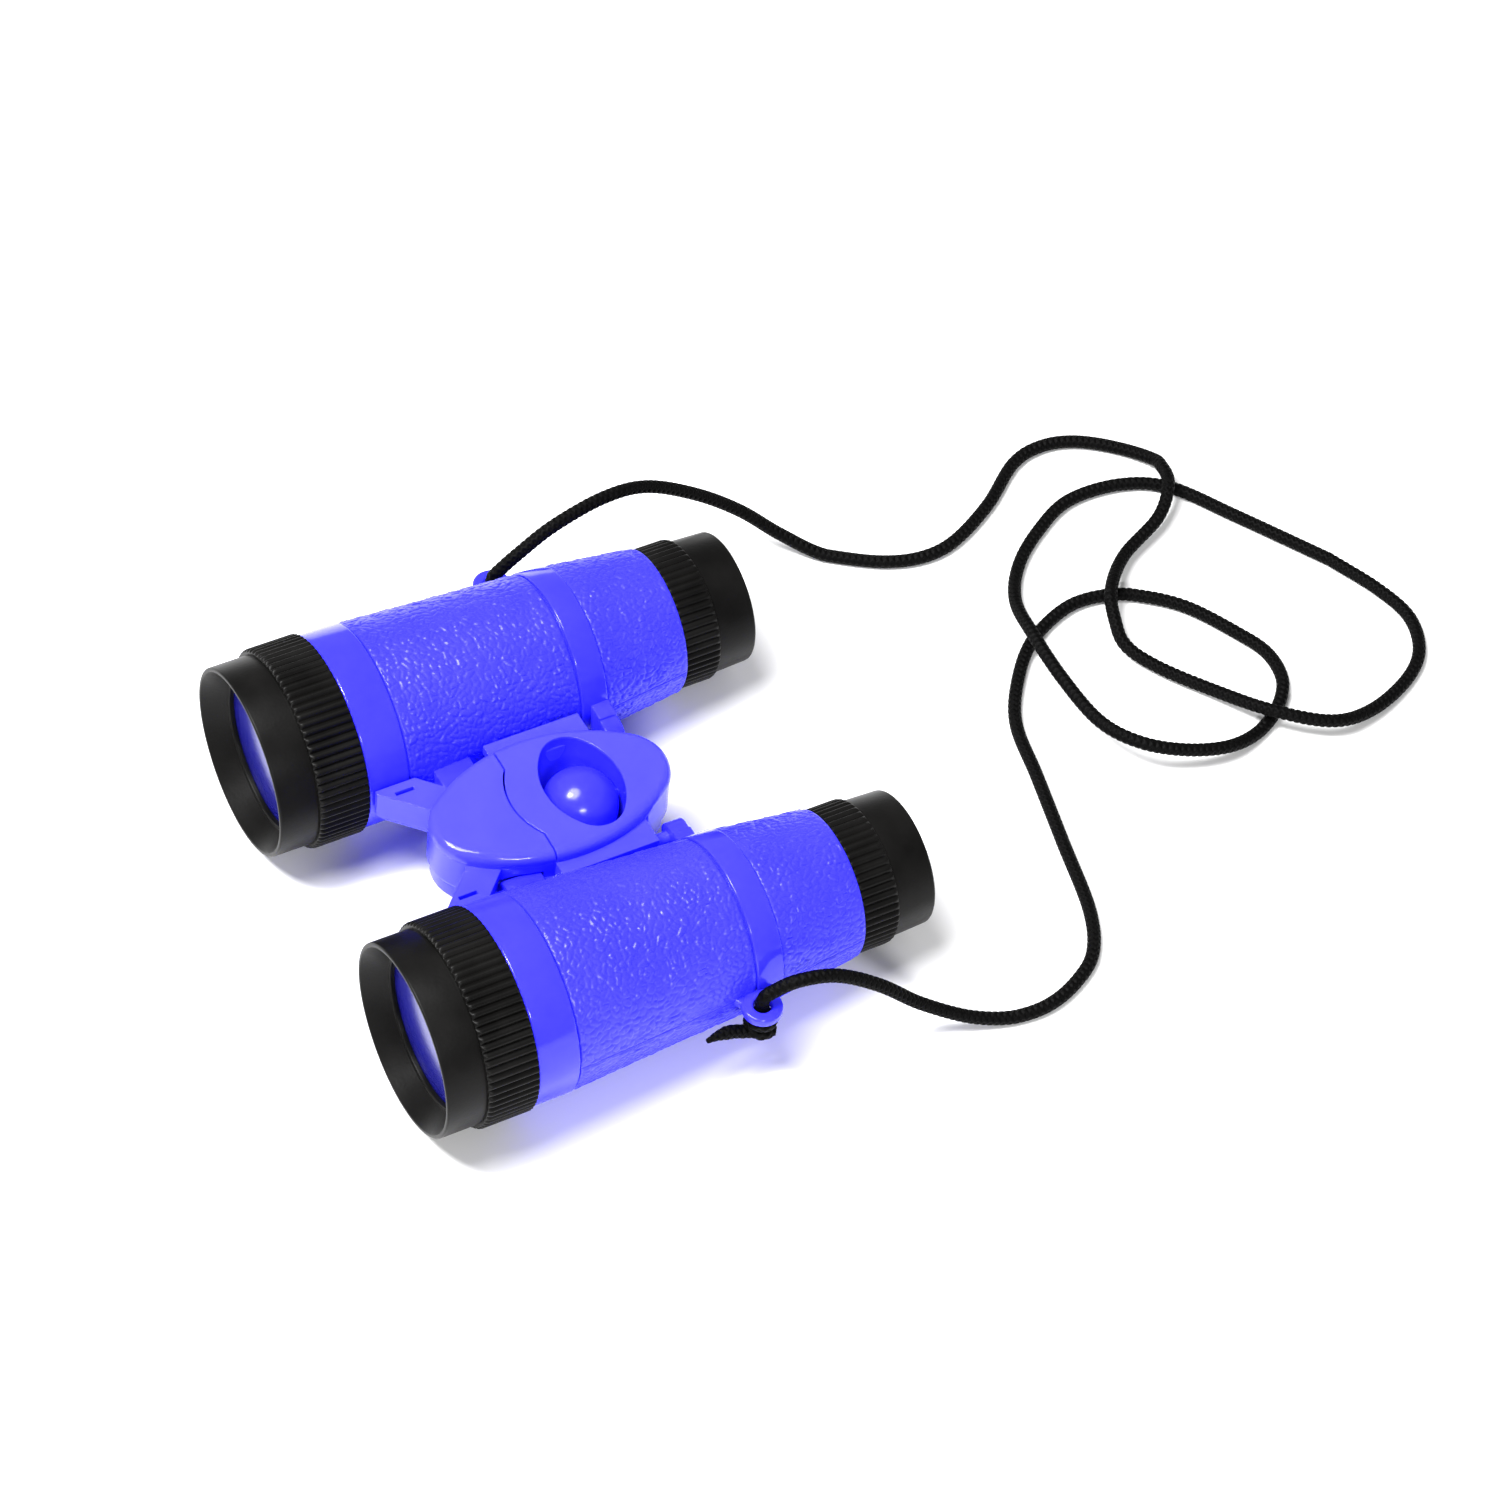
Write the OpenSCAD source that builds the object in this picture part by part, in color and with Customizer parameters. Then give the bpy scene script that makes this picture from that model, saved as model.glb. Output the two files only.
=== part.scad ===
// Toy binoculars: two tapered barrels hinged to a hub, with a focus ball and a neck cord.
// Millimetres. Z is up, the objectives face -Y, the left barrel is on +X, and the part lies on z = 0.
// Stations along a barrel are counted from the front rim of the hood, towards the eyepiece.

/* [Barrel] */
// Radius of the smooth collar behind the objective cap
collar_r = 21.5; // [18:0.1:26]
// Length of the smooth collar
collar_len = 9.2; // [6:0.2:14]
// Wall of the barrel shell
barrel_wall = 2.2; // [1.4:0.1:3]
// Length of the front grained zone
grain_len = 41.6; // [36:0.2:50]
// Depth of the grained zones below their bands
grain_drop = 0.3; // [0.1:0.05:0.6]
// Radius of the middle band at its front edge
band_front_r = 19.2; // [16.5:0.1:22]
// Narrowing of the middle band towards its rear edge
band_taper = 0.25; // [0.1:0.05:0.5]
// Length of the middle band
band_len = 6.2; // [5:0.2:10]
// Length of the rear grained zone
tail_len = 20.6; // [14:0.2:28]
// Radius of the barrel at its rear end
tail_rear_r = 16.1; // [14.5:0.1:18]
// Wall of the barrel at its rear end
tail_wall = 2.5; // [1.6:0.1:3]

/* [Objective cap] */
// Length of the plain hood in front of the ribs
hood_len = 8.7; // [7:0.1:14]
// Length of the ribbed ring
ring_len = 11.3; // [8:0.1:16]
// Height of the ribs above the collar
ring_step = 0.6; // [0.3:0.1:1.6]
// Depth of the grooves between the ribs
rib_depth = 0.6; // [0.2:0.05:1]
// Number of ribs round the objective cap
rib_count = 76; // [36:1:96]
// Setback of the hood below the ribs
hood_step = 1.2; // [0.8:0.1:1.6]
// Thickness of the hood's rim
rim_wall = 0.9; // [0.6:0.1:1.4]
// Depth of the hood's cone
hood_depth = 5; // [3:0.1:9]
// Width of the step at the cone's end
throat_step = 0.8; // [0.4:0.1:1.4]
// Width of the lip in front of the lens
lip_w = 1.8; // [1:0.1:3]
// Thickness of the lip in front of the lens
lip_len = 1.2; // [0.8:0.1:2]
// Depth of the front spigot below the collar
spigot_drop = 1.9; // [1.4:0.1:2.4]
// Wall of the front spigot
spigot_wall = 1.8; // [1.2:0.1:2.4]

/* [Objective lens] */
// Width of the step between the spigot's seat and the lens's seat
lens_step = 1.4; // [0.8:0.1:2]
// Edge thickness of the objective lens
lens_edge = 1.6; // [1:0.1:3]
// Height of the lens's front bulge
lens_bulge = 1; // [0.4:0.1:1.1]
// Length of the retaining ring behind the lens
keeper_len = 1.8; // [1:0.1:4]
// Radial width of the retaining ring
keeper_wall = 2; // [1:0.1:3]

/* [Eyepiece] */
// Length of the ribbed part of the eyepiece
eye_ring_len = 8.4; // [6:0.1:12]
// Setback of the eyepiece ribs below the barrel's rear end
eye_ring_drop = 0.15; // [0.1:0.05:0.6]
// Depth of the grooves between the eyepiece ribs
eye_rib_depth = 0.5; // [0.2:0.05:0.8]
// Number of ribs round the eyepiece
eye_rib_count = 56; // [30:1:72]
// Length of the plain eyecup
cup_len = 9.2; // [7:0.1:14]
// Setback of the eyecup below the ribs
cup_drop = 0.85; // [0.6:0.05:1.4]
// Narrowing of the eyecup towards its rear rim
cup_taper = 0.4; // [0.1:0.1:1.2]
// Thickness of the eyecup's rim
cup_wall = 2.3; // [1.4:0.1:3]
// Depth of the hollow that the eye looks into
cup_depth = 6.2; // [4:0.1:7]
// Width of the stop round the view hole
eye_stop_w = 1.4; // [0.8:0.1:2]
// Thickness of that stop
eye_stop_len = 1.6; // [1:0.1:2.4]
// Wall of the eyepiece's inner tube
eye_tube_wall = 3.6; // [2.4:0.1:4.4]
// Edge thickness of the eyepiece lens
eye_lens_edge = 2.2; // [1.2:0.1:4]
// Height of the eyepiece lens's bulges
eye_lens_bulge = 0.9; // [0.3:0.1:1.4]
// Length of the ring that keeps the eyepiece lens
eye_keeper_len = 2; // [1:0.1:4]
// Radial width of that ring
eye_keeper_wall = 1.6; // [1:0.1:2.4]
// Length of the plug that sits in the barrel
plug_len = 7.6; // [5:0.1:12]

/* [Hub] */
// Distance from the objective caps to the hub's front end
hub_set = 5.5; // [4.8:0.1:9]
// Distance from the hub's front end to the ball's middle
ball_set = 34.4; // [32:0.1:40]
// Half width of the hub's oval
hub_half_w = 15.8; // [14.4:0.1:18]
// Radius of the oval's ends
hub_end_r = 10; // [8:0.1:12]
// Height of the cover's top above the barrels' axes
hub_top = 8.3; // [7.2:0.1:10]
// Thickness of the two cover plates
cover_t = 2.7; // [2.2:0.1:3]
// Rounding of the cover's upper edge
cover_round = 2; // [0.8:0.1:2.1]
// Height of the tub's stepped foot
tub_step_h = 2.2; // [1.6:0.1:3]
// Setback of the tub's stepped foot
tub_step = 1.4; // [0.6:0.1:2]
// Setback of the tub below the body
tub_inset = 0.8; // [0.6:0.1:2]
// Wall of the hub body and the tub
hub_wall = 2.2; // [1.4:0.1:2.6]
// Floor thickness of the tub
tub_floor = 1.4; // [1:0.1:1.8]

/* [Finger opening] */
// Width of the cover beside the opening
open_rim = 3.3; // [2.6:0.1:5]
// Room between the ball and the opening along the barrels
open_room = 0.3; // [0.3:0.1:2]
// Radius of the opening's ends
open_end_r = 6; // [5:0.1:7]
// Radius of the seam between the cover plates, about the opening
seam_r = 16.3; // [14.5:0.1:19]
// Distance from the opening's middle forward to the seam at the sides
seam_set = 13.4; // [11:0.1:14]
// Width of the seam
seam_gap = 0.4; // [0.2:0.05:0.8]

/* [Focus ball] */
// Radius of the ball
ball_r = 8.2; // [7:0.1:9]
// Height of the ball's middle above the barrels' axes
ball_z = 0.3; // [0:0.1:0.6]
// Room between the ball and the tub's floor
ball_room = 0.7; // [0.4:0.1:2]
// Radius of the ball's trunnions
trunnion_r = 1.4; // [1:0.05:1.8]
// Thickness of the webs that carry the trunnions
web_t = 2; // [1.4:0.1:2.6]
// Room between the ball and each web
web_gap = 0.5; // [0.3:0.05:0.8]

/* [Hinges] */
// Distance from the hub's side in to each hinge pin
hinge_inset = 0.8; // [0.4:0.1:1.4]
// Radius of the hinge pins
pin_r = 1.4; // [1:0.05:1.8]
// Radius of the round knuckles on the barrels and the wings
knuckle_r = 3; // [2.5:0.05:3.6]
// Distance from the hub's front end to the front knuckles
knuckle_set = 9.5; // [8.5:0.1:11]
// Length of the front knuckle
knuckle_len = 8.5; // [6:0.1:10]
// Distance from the front knuckles to the wings
wing_set = 2.8; // [2:0.1:4]
// Reach of the wings beyond the pins
wing_reach = 3.8; // [2:0.1:4.6]
// Thickness of the wings' outer plates
wing_t = 2.4; // [1.6:0.1:2.8]
// Room between the wings and the barrels
wing_room = 0.45; // [0.3:0.05:1]
// Room between a wing and the rear lug behind it
lug_gap = 4.3; // [2:0.1:8]
// Length of the rear lug
lug_len = 4.2; // [3:0.1:5]
// Height of the rear lug's flat top above the barrels' axes
lug_top = 3.7; // [3.1:0.1:4.4]
// Distance from the pin's axis to the lug's flat face
lug_face = 1.7; // [1.5:0.1:2.2]
// Distance from the hub's front end to where the arms cross the pins
arm_set = 1.8; // [1.4:0.1:3]
// Width of the slanting front arms
arm_w = 7; // [5:0.1:8]
// Slant of the front arms
arm_turn = 45; // [40:1:50]
// Setback of the arms' top below the cover
arm_drop = 0.7; // [0.3:0.1:2]
// Reach of the arms beyond the pins
arm_reach = 2.4; // [2:0.1:3]
// Room between the arms and the collars
arm_room = 0.6; // [0.4:0.1:1.2]
// Radius of the arms' round undersides
arm_round = 2.6; // [2.2:0.05:3]
// Length of the window in each arm
window_len = 4.2; // [2:0.1:5]
// Width of the window in each arm
window_w = 0.9; // [0.5:0.1:1.4]

/* [Screws] */
// Radius of the screw shanks
screw_r = 1.2; // [0.8:0.05:1.4]
// Radius of the screw heads
screw_head_r = 2.2; // [1.8:0.05:2.6]
// Height of the screw heads
screw_head_h = 1.6; // [1:0.1:2]
// Length of the screw shanks
screw_len = 9; // [6:0.1:11]
// Wall of the screw posts round the shanks
post_wall = 1.4; // [1:0.1:1.6]
// Room round the rear screw post
post_room = 0.45; // [0.3:0.05:1.2]
// Depth of the wells that the heads sit in
well_depth = 2.6; // [2.1:0.1:3.2]
// Distance from the hub's front end to the front screw
front_screw_set = 10.5; // [8:0.1:12]

/* [Strap eyelets] */
// Distance from the middle band's front edge forward to the eyelets
eyelet_set = 0.8; // [0:0.1:4]
// Distance from the middle band out to the eyelets' middle
eyelet_out = 3.5; // [2.6:0.1:5]
// Outer radius of the eyelets
eyelet_r = 4.25; // [3.6:0.05:5]
// Thickness of the eyelets
eyelet_t = 2.2; // [1.4:0.1:3]

/* [Neck cord] */
// Radius of the cord
cord_r = 1.5; // [1.2:0.05:1.8]
// Room between the cord and its eyelet
cord_play = 0.4; // [0.3:0.05:0.8]
// Middle radius of the stopper knot's turn
knot_r = 2.3; // [1.9:0.05:2.8]
// Length of the cord's tail below the knot
knot_tail = 12; // [6:0.5:16]

/* [Clearances] */
// Radial gap of parts pushed together
fit_gap = 0.05; // [0.02:0.01:0.1]
// Radial gap of a turning pin
run_gap = 0.05; // [0.03:0.01:0.1]
// Gap between parts that move past each other
move_gap = 0.4; // [0.3:0.05:0.5]

/* [Hidden] */
$fn = 96;
plastic = "#4638f0";
black = "#26241f";
glass = "#6f86d8";
steel = "#c8ccd2";
cut = 1;

// Stations along a barrel
cap_len = hood_len + ring_len;
lens_y = hood_depth + lip_len;
spigot_y = lens_y + lens_edge + keeper_len;
collar_end = cap_len + collar_len;
grain_end = collar_end + grain_len;
band_end = grain_end + band_len;
barrel_end = band_end + tail_len;
eye_ring_end = barrel_end + eye_ring_len;
total_len = eye_ring_end + cup_len;
cup_floor = total_len - cup_depth;
eye_lens_rear = cup_floor - eye_stop_len;
eye_lens_front = eye_lens_rear - eye_lens_edge;

// Radii of a barrel, its cap and its eyepiece
ring_r = collar_r + ring_step;
hood_r = ring_r - hood_step;
hood_mouth_r = hood_r - rim_wall;
spigot_r = collar_r - spigot_drop;
lens_r = spigot_r - lens_step;
lip_r = lens_r - lip_w;
hood_throat_r = lip_r + throat_step;
grain_front_r = collar_r - grain_drop;
grain_rear_r = band_front_r - grain_drop;
band_rear_r = band_front_r - band_taper;
tail_front_r = band_rear_r - grain_drop;
plug_r = tail_rear_r - tail_wall;
eye_lens_r = plug_r - eye_tube_wall;
eye_stop_r = eye_lens_r - eye_stop_w;
eye_ring_r = tail_rear_r - eye_ring_drop;
cup_front_r = eye_ring_r - cup_drop;
cup_rear_r = cup_front_r - cup_taper;
cup_bore_r = cup_rear_r - cup_wall;

// Resting pose: the ribbed rings and the middle bands' rear edges lie on the floor.
rest_tilt = atan((ring_r - band_rear_r) / (band_end - cap_len));
rest_z = cap_len * sin(rest_tilt) + ring_r * cos(rest_tilt);
front_y = -hood_r * sin(rest_tilt);
rear_y = total_len * cos(rest_tilt) + cup_rear_r * sin(rest_tilt);
mid_y = (front_y + rear_y) / 2;

// Stations of the hub, built round the ball and its screws
post_r = screw_r + post_wall;
hub_front = cap_len + hub_set;
open_y = hub_front + ball_set;
web_in = ball_r + web_gap;
web_out = web_in + web_t;
front_screw_y = hub_front + front_screw_set;
rear_screw_y = open_y + web_out + post_room + post_r;
hub_rear = rear_screw_y + post_r + post_room + tub_inset + hub_wall;
hub_y = (hub_front + hub_rear) / 2;
hub_half_len = (hub_rear - hub_front) / 2;
seam_y = open_y - seam_set;
open_half_w = hub_half_w - open_rim;
open_half_len = ball_r + open_room;

// Hub heights, from the barrels' axes
cover_z = hub_top - cover_t;
body_z = -knuckle_r;
tub_z = ball_z - ball_r - ball_room - tub_floor;
well_floor = tub_z + well_depth;
post_end = well_floor + tub_floor;
arm_top = cover_z - arm_drop;

// Hinges: the barrels stand clear of the arms and the wings
hinge_x = hub_half_w - hinge_inset;
arm_y = hub_front + arm_set;
pin_y = arm_y - arm_w / 2 + pin_r;
knuckle_y = hub_front + knuckle_set;
wing_y = knuckle_y + knuckle_len + wing_set;
lug_y = band_end - lug_len;
wing_len = lug_y - lug_gap - wing_y;
function grain_r(y) = grain_front_r + (grain_rear_r - grain_front_r) * (y - collar_end) / grain_len;
wing_side_r = max(grain_r(wing_y), grain_r(wing_y + wing_len));
barrel_x = hinge_x + max(arm_reach + arm_room + collar_r, wing_reach + wing_room + wing_side_r);

// Neck cord
hole_r = cord_r + cord_play;
eyelet_x = barrel_x + band_front_r + eyelet_out;
eyelet_y = grain_end - eyelet_set;
eyelet_reach = eyelet_x - barrel_x;
knot_z = -eyelet_t / 2 - cord_play - cord_r;
tail_z = knot_z - cord_r;
cord_lead = 3;
cord_sides = 8;
cord_split = 40;
// Places of the cord's middle on the floor plan, and the lift of its underside, from left to right
cord_route = [
    [62.5, 15, 22.5], [64, 20, 25], [65.5, 28, 23.5], [67.5, 37, 17], [70, 46, 8], [74, 56, 2],
    [77, 65, 0], [77.5, 73, 0], [75, 81, 0], [70, 88, 0], [60, 93, 0], [42, 97, 0], [24, 101, 0],
    [10, 104, 0], [0, 110, 0], [-9, 119, 0], [-14, 131, 0], [-13, 141, 0], [-9, 148, 0], [-2, 155, 0],
    [9, 161, 0], [17, 164, 0], [25, 163, 0], [31, 158, 0], [35, 151, 0], [37, 142, 2], [35, 132, 4],
    [30, 123, 6], [21, 118, 6], [7, 117, 5.5], [-8, 118, 4.5], [-20, 121, 1], [-29, 127, 0],
    [-36, 136, 0], [-41, 147, 0], [-40, 160, 0], [-34, 170, 0], [-20, 179, 0], [0, 191, 0],
    [12, 196, 0], [22, 198, 0], [31, 195, 0], [37, 188, 0], [41.5, 176, 1], [41.5, 165, 3], [33.5, 154, 4],
    [21, 147, 1], [10, 140, 0.5], [2, 136.5, 1], [-4, 137, 3], [-11, 140, 4.5], [-20, 149, 2],
    [-26, 161.5, 2.5], [-32, 167.5, 4.5], [-38, 169.5, 3.5], [-43, 170, 1], [-50, 165, 0], [-56, 157, 0],
    [-58, 149, 0], [-56, 141, 0], [-48, 130, 0], [-42, 118, 0], [-41, 109, 0], [-44, 100, 0],
    [-51, 90, 0], [-58, 82, 4], [-63, 74, 11], [-65.5, 64, 19], [-66, 52, 27], [-65, 41, 30],
    [-63, 28, 29.5], [-62, 19, 26], [-62, 14, 22.5]];

// Lays what is drawn along the barrels down on the floor
module lie() {
    translate([0, -mid_y, rest_z]) rotate([-rest_tilt, 0, 0]) children();
}

// The same move for a point
function lie_pt(p) = [p[0], p[1] * cos(rest_tilt) + p[2] * sin(rest_tilt) - mid_y,
    p[2] * cos(rest_tilt) - p[1] * sin(rest_tilt) + rest_z];

// Turns a shape that stands on Z to run along the barrels
module along() {
    rotate([-90, 0, 0]) children();
}

// A round bar along the barrels, between two stations
module bar(x, z, r, y0, y1) {
    translate([x, y0, z]) along() cylinder(r = r, h = y1 - y0);
}

// Moves a shape to the left barrel's axis
module at_barrel() {
    translate([barrel_x, 0, 0]) along() children();
}

// Draws a left-hand shape, or its mirror image
module sided(left) {
    lie() {
        if (left) children();
        else mirror([1, 0, 0]) children();
    }
}

// Zigzag outline of a ribbed ring, with one crest straight down
module ribbed(count, r, depth) {
    polygon([for (i = [0 : 2 * count - 1]) let (a = 90 + i * 180 / count, rr = r - (i % 2) * depth)
        [rr * cos(a), rr * sin(a)]]);
}

// Spherical cap of a lens, with its flat side on z = 0
module bulge(r, h) {
    ball = (r * r + h * h) / (2 * h);
    intersection() {
        translate([0, 0, h - ball]) sphere(r = ball, $fn = 192);
        cylinder(r = r, h = h);
    }
}

// Side radius of an oval made of four arcs
function oval_side(half_len, half_w, end_r) =
    (half_w * half_w + pow(half_len - end_r, 2) - end_r * end_r) / (2 * (half_w - end_r));
function oval_angle(half_len, half_w, end_r) =
    atan2(half_len - end_r, oval_side(half_len, half_w, end_r) - half_w);

// Flat oval of four arcs, long along Y
module oval(half_len, half_w, end_r) {
    side = oval_side(half_len, half_w, end_r);
    turn = oval_angle(half_len, half_w, end_r);
    meet = half_len - end_r + end_r * sin(turn);
    intersection() {
        translate([half_w - side, 0]) circle(r = side, $fn = 192);
        translate([side - half_w, 0]) circle(r = side, $fn = 192);
        square([2 * half_w, 2 * meet], center = true);
    }
    for (s = [-1, 1]) translate([0, s * (half_len - end_r)]) circle(r = end_r);
}

// Round plate with a round upper edge
module puck(r, h, corner) {
    cylinder(r = r, h = h - corner, $fn = 192);
    cylinder(r = r - corner, h = h, $fn = 192);
    translate([0, 0, h - corner]) rotate_extrude($fn = 192) intersection() {
        translate([r - corner, 0]) circle(r = corner, $fn = 48);
        square([r, corner]);
    }
}

// Oval plate with a round upper edge
module oval_plate(half_len, half_w, end_r, h, corner) {
    side = oval_side(half_len, half_w, end_r);
    turn = oval_angle(half_len, half_w, end_r);
    meet = half_len - end_r + end_r * sin(turn);
    intersection() {
        translate([half_w - side, 0, 0]) puck(side, h, corner);
        translate([side - half_w, 0, 0]) puck(side, h, corner);
        translate([-half_w, -meet, 0]) cube([2 * half_w, 2 * meet, h]);
    }
    for (s = [-1, 1]) translate([0, s * (half_len - end_r), 0]) puck(end_r, h, corner);
}

// Upright oval wall of the hub, filled, between two heights
module hub_block(inset, z0, z1) {
    translate([0, hub_y, z0]) linear_extrude(height = z1 - z0)
        oval(hub_half_len - inset, hub_half_w - inset, hub_end_r - inset);
}

// Room that the barrels' front knuckles turn in
module knuckle_room() {
    for (s = [-1, 1])
        bar(s * hinge_x, 0, knuckle_r + move_gap, knuckle_y - move_gap, knuckle_y + knuckle_len + move_gap);
}

// Slanting front arm that holds the front end of a hinge pin
module arm() {
    low = -arm_round;
    far = arm_y + arm_w + hinge_x;
    intersection() {
        translate([hinge_x, arm_y, low]) rotate([0, 0, -arm_turn])
            translate([-hinge_x, -arm_w / 2, 0]) cube([2 * hinge_x, arm_w, arm_top - low]);
        union() {
            bar(hinge_x, 0, arm_round, cap_len + 2 * move_gap, far);
            translate([0, cap_len + 2 * move_gap, low]) cube([hinge_x, far, arm_top - low]);
            translate([0, cap_len + 2 * move_gap, 0]) cube([hinge_x + arm_reach, far, arm_top]);
        }
    }
}

// Flat wing with the long knuckle under it
module wing() {
    bar(hinge_x, 0, knuckle_r, wing_y, wing_y + wing_len);
    translate([hinge_x - knuckle_r, wing_y, 0]) cube([knuckle_r + wing_reach - wing_t, wing_len, cover_z]);
    translate([hinge_x - knuckle_r, wing_y, cover_z - wing_t])
        cube([knuckle_r + wing_reach, wing_len, wing_t]);
}

// Upright web across the hub, with the trunnion's bearing in it
module web(y) {
    intersection() {
        hub_block(hub_wall / 2, body_z, cover_z);
        translate([-hub_half_w, y, body_z])
            cube([2 * hub_half_w, web_t, ball_z + trunnion_r + web_t - body_z]);
    }
}

module hub_body() color(plastic) lie() difference() {
    union() {
        difference() {
            union() {
                hub_block(0, body_z, cover_z);
                for (s = [0, 1]) mirror([s, 0, 0]) arm();
            }
            hub_block(hub_wall, body_z - cut, cover_z + cut);
        }
        intersection() {
            hub_block(0, body_z, cover_z);
            for (s = [-1, 1]) bar(s * hinge_x, 0, knuckle_r + move_gap + hub_wall,
                knuckle_y - move_gap - hub_wall, knuckle_y + knuckle_len + move_gap + hub_wall);
        }
        for (s = [0, 1]) mirror([s, 0, 0]) wing();
        web(open_y - web_out);
        web(open_y + web_in);
    }
    knuckle_room();
    for (s = [-1, 1]) {
        bar(s * hinge_x, 0, pin_r + fit_gap, pin_y - fit_gap, wing_y + wing_len + cut);
        translate([s * hinge_x - window_w / 2, arm_y - window_len / 2 - window_w, 0])
            cube([window_w, window_len, arm_top + cut]);
    }
    bar(0, ball_z, trunnion_r + run_gap, open_y - web_out - cut, open_y + web_out + cut);
}

module hub_tub() color(plastic) lie() difference() {
    union() {
        difference() {
            union() {
                hub_block(tub_inset, tub_z + tub_step_h, body_z);
                hub_block(tub_inset + tub_step, tub_z, body_z);
            }
            hub_block(tub_inset + tub_step + hub_wall, tub_z + tub_floor, body_z + cut);
            hub_block(tub_inset + hub_wall, post_end - move_gap, body_z + cut);
        }
        for (y = [front_screw_y, rear_screw_y])
            translate([0, y, tub_z + tub_floor / 2])
                cylinder(r = post_r + post_wall, h = post_end - tub_z - tub_floor / 2);
    }
    knuckle_room();
    for (y = [front_screw_y, rear_screw_y]) translate([0, y, tub_z]) {
        translate([0, 0, -cut]) cylinder(r = screw_head_r + move_gap, h = well_depth + cut);
        cylinder(r = screw_r + move_gap / 2, h = body_z - tub_z);
    }
}

// The whole cover, before the seam divides it
module cover_blank() {
    translate([0, hub_y, cover_z]) oval_plate(hub_half_len, hub_half_w, hub_end_r, cover_t, cover_round);
}

// Everything behind the seam, drawn back from it by a margin
module behind_seam(margin) {
    translate([0, 0, cover_z - cut]) {
        translate([0, open_y, 0]) cylinder(r = seam_r - margin, h = cover_t + 2 * cut, $fn = 192);
        translate([-hub_half_w - cut, seam_y + margin, 0])
            cube([2 * hub_half_w + 2 * cut, hub_y + hub_half_len, cover_t + 2 * cut]);
    }
}

// Post under a cover plate that takes a screw
module post(y) {
    difference() {
        translate([0, y, post_end]) cylinder(r = post_r, h = cover_z + cover_t / 2 - post_end);
        translate([0, y, post_end - cut]) cylinder(r = screw_r + fit_gap, h = screw_len + cut);
    }
}

module cover_front() color(plastic) lie() union() {
    difference() {
        cover_blank();
        behind_seam(-seam_gap / 2);
    }
    post(front_screw_y);
}

module cover_rear() color(plastic) lie() union() {
    difference() {
        intersection() {
            cover_blank();
            behind_seam(seam_gap / 2);
        }
        translate([0, open_y, cover_z - cut]) rotate([0, 0, 90])
            linear_extrude(height = cover_t + 2 * cut) oval(open_half_w, open_half_len, open_end_r);
    }
    post(rear_screw_y);
}

module screw(y) color(steel) lie() translate([0, y, well_floor]) {
    cylinder(r = screw_r, h = screw_len);
    translate([0, 0, -screw_head_h]) cylinder(r = screw_head_r, h = screw_head_h);
}

module focus_ball() color(plastic) lie() union() {
    translate([0, open_y, ball_z]) sphere(r = ball_r);
    bar(0, ball_z, trunnion_r, open_y - web_out, open_y + web_out);
}

module hinge_pin(left) color(plastic) sided(left)
    bar(hinge_x, 0, pin_r, pin_y, band_end);

// Outside of a barrel, filled
module barrel_blank() {
    rotate_extrude() polygon([[0, spigot_y], [spigot_r, spigot_y], [spigot_r, cap_len],
        [collar_r, cap_len], [collar_r, collar_end], [grain_front_r, collar_end],
        [grain_rear_r, grain_end], [band_front_r, grain_end], [band_rear_r, band_end],
        [tail_front_r, band_end], [tail_rear_r, barrel_end], [0, barrel_end]]);
}

// Inside of a barrel
module barrel_bore() {
    rotate_extrude() polygon([[0, spigot_y - cut], [spigot_r - spigot_wall, spigot_y - cut],
        [spigot_r - spigot_wall, cap_len + barrel_wall], [grain_front_r - barrel_wall, collar_end],
        [grain_rear_r - barrel_wall, grain_end], [tail_front_r - barrel_wall, band_end],
        [plug_r, barrel_end - plug_len], [plug_r, barrel_end + cut], [0, barrel_end + cut]]);
}

module barrel(left) color(plastic) sided(left) difference() {
    union() {
        at_barrel() barrel_blank();
        // front knuckle
        bar(hinge_x, 0, knuckle_r, knuckle_y, knuckle_y + knuckle_len);
        translate([hinge_x, knuckle_y, -knuckle_r])
            cube([barrel_x - hinge_x, knuckle_len, 2 * knuckle_r]);
        // rear lug
        bar(hinge_x, 0, knuckle_r, lug_y, lug_y + lug_len);
        translate([hinge_x, lug_y, -knuckle_r]) cube([barrel_x - hinge_x, lug_len, 2 * knuckle_r]);
        translate([hinge_x + lug_face, lug_y, 0]) cube([barrel_x - hinge_x - lug_face, lug_len, lug_top]);
        // strap eyelet
        translate([eyelet_x, eyelet_y, -eyelet_t / 2]) cylinder(r = eyelet_r, h = eyelet_t);
        translate([barrel_x, eyelet_y - eyelet_r, -eyelet_t / 2])
            cube([eyelet_reach, 2 * eyelet_r, eyelet_t]);
    }
    at_barrel() barrel_bore();
    bar(hinge_x, 0, pin_r + run_gap, knuckle_y - cut, band_end + cut);
    translate([eyelet_x, eyelet_y, -eyelet_t]) cylinder(r = hole_r, h = 2 * eyelet_t);
}

module objective_cap(left) color(black) sided(left) at_barrel() difference() {
    union() {
        cylinder(r = hood_r, h = hood_len + ring_len / 2);
        translate([0, 0, hood_len]) linear_extrude(height = ring_len) ribbed(rib_count, ring_r, rib_depth);
    }
    rotate_extrude() polygon([[0, -cut], [hood_mouth_r, -cut], [hood_mouth_r, 0], [hood_throat_r, hood_depth],
        [lip_r, hood_depth], [lip_r, lens_y], [lens_r + fit_gap, lens_y], [lens_r + fit_gap, spigot_y],
        [spigot_r + fit_gap, spigot_y], [spigot_r + fit_gap, cap_len + cut], [0, cap_len + cut]]);
}

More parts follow.
